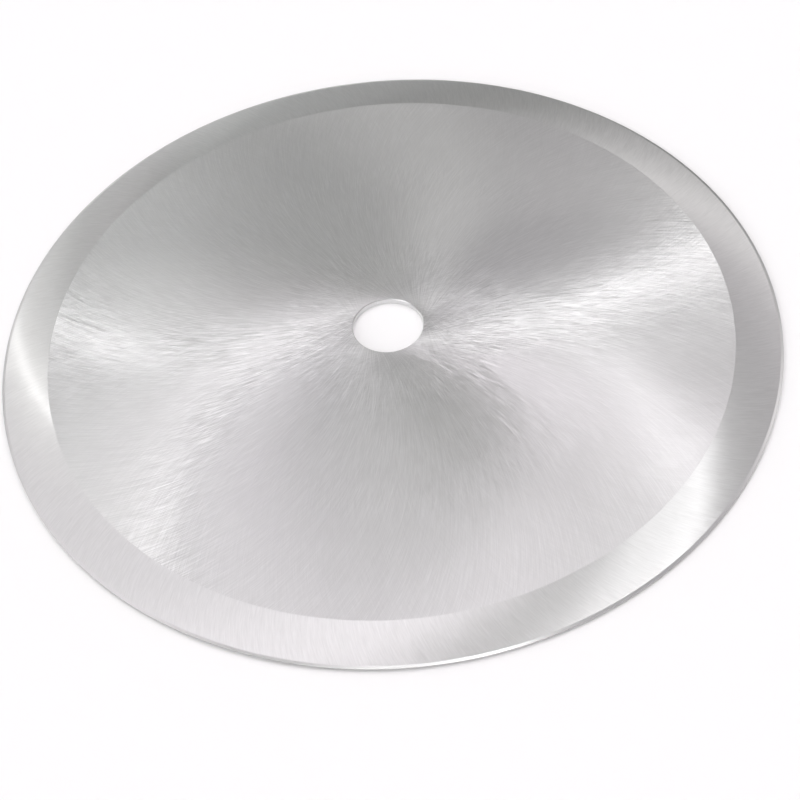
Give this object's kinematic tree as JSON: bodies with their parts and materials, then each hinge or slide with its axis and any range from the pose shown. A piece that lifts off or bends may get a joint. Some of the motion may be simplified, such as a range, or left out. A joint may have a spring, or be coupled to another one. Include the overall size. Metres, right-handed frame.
{
  "type": "hose cutting blade",
  "caption": "Smooth-edged circular steel blade with a shallow bevel ground on both sides of the rim and a round arbor bore, for cutting reinforced hose.",
  "frame": {"origin": "centre of the arbor bore, on the blade's middle plane, which is the plane that the edge cuts in", "axes": "+Z along the arbor bore and the spin axis; X and Y lie in the blade's middle plane and are interchangeable, because the blade is a body of revolution"},
  "size_m": [0.35, 0.35, 0.003],
  "materials": {
    "ground_steel": "ground, with fine curved grinding marks"
  },
  "bodies": {
    "root": {"blade": "ground_steel"}
  },
  "joints": []
}
